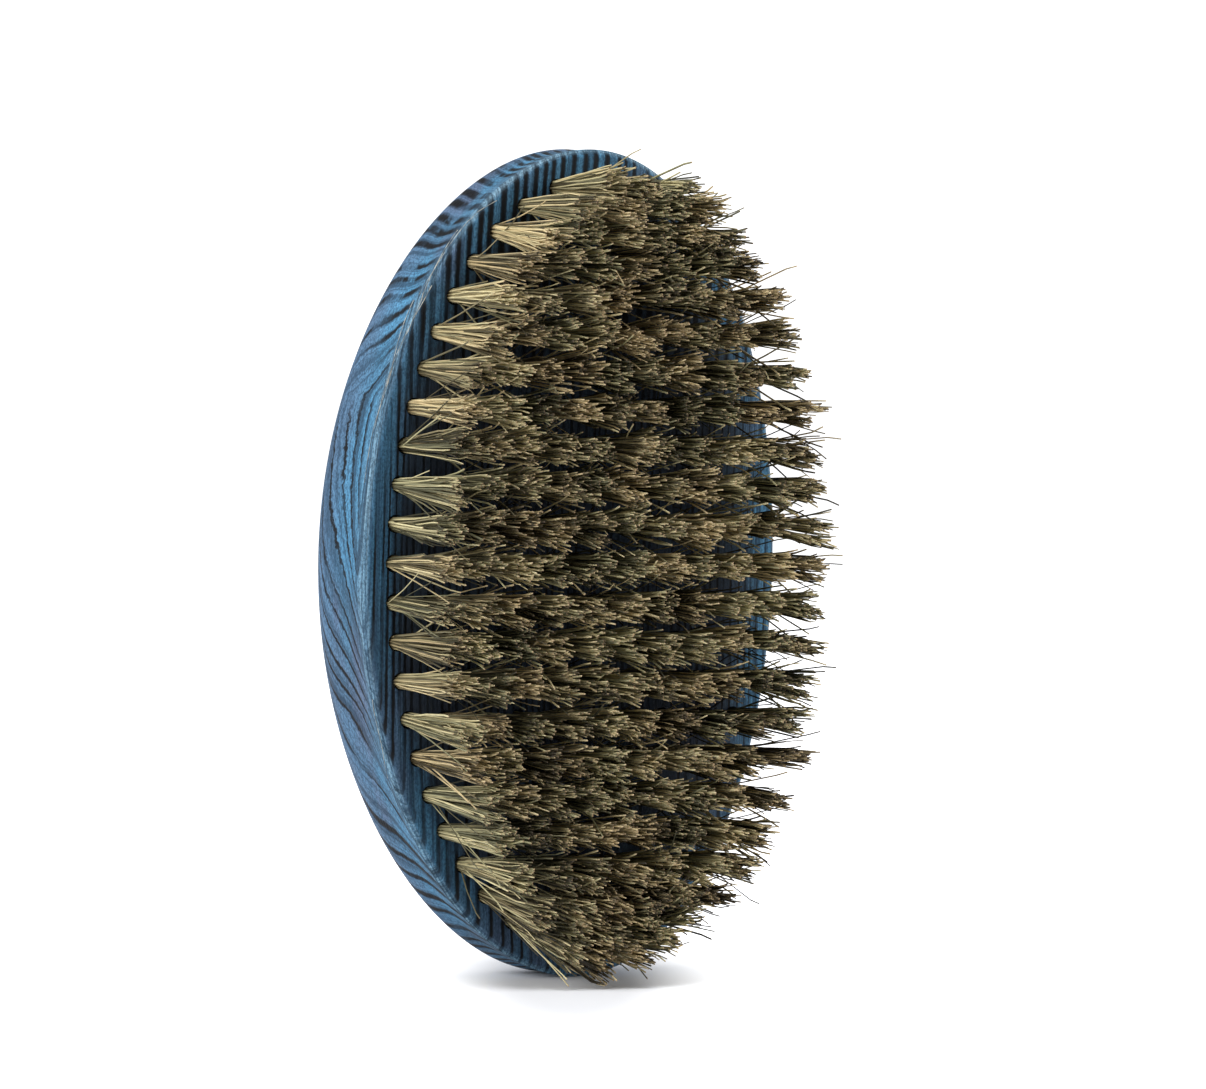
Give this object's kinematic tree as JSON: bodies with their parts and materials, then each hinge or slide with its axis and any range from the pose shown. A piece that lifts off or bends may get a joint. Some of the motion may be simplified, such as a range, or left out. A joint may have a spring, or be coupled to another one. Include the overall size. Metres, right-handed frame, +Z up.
{
  "type": "fade brush",
  "caption": "Oval palm brush without a handle: a bowed wood block with rows of stiff bristle tufts set in blind holes, for brushing short hair.",
  "frame": {"origin": "under the middle of the brush, on the surface that its lower end stands on", "axes": "+Z up along the length of the block, +X across its width, -Y the way the bristles point, +Y out of the flat on the back"},
  "size_m": [0.0682, 0.0452, 0.12],
  "materials": {
    "stained_wood": "blue stain with dark grain lines under a thin satin lacquer",
    "bristle": "stiff natural bristle, straw to near-black, with pale cut ends",
    "anchor_steel": "flat drawn wire, hidden at the bottoms of the tuft holes"
  },
  "bodies": {
    "root": {"wood_block": "stained_wood", "tuft_row_01": "bristle", "tuft_row_02": "bristle", "tuft_row_03": "bristle", "tuft_row_04": "bristle", "tuft_row_05": "bristle", "tuft_row_06": "bristle", "tuft_row_07": "bristle", "tuft_row_08": "bristle", "tuft_row_09": "bristle", "tuft_row_10": "bristle", "tuft_row_11": "bristle", "tuft_row_12": "bristle", "tuft_row_13": "bristle", "tuft_row_14": "bristle", "tuft_row_15": "bristle", "tuft_row_16": "bristle", "tuft_row_17": "bristle", "tuft_row_18": "bristle", "tuft_row_19": "bristle", "tuft_row_20": "bristle", "tuft_row_21": "bristle", "tuft_row_22": "bristle", "tuft_row_23": "bristle"}
  },
  "joints": []
}
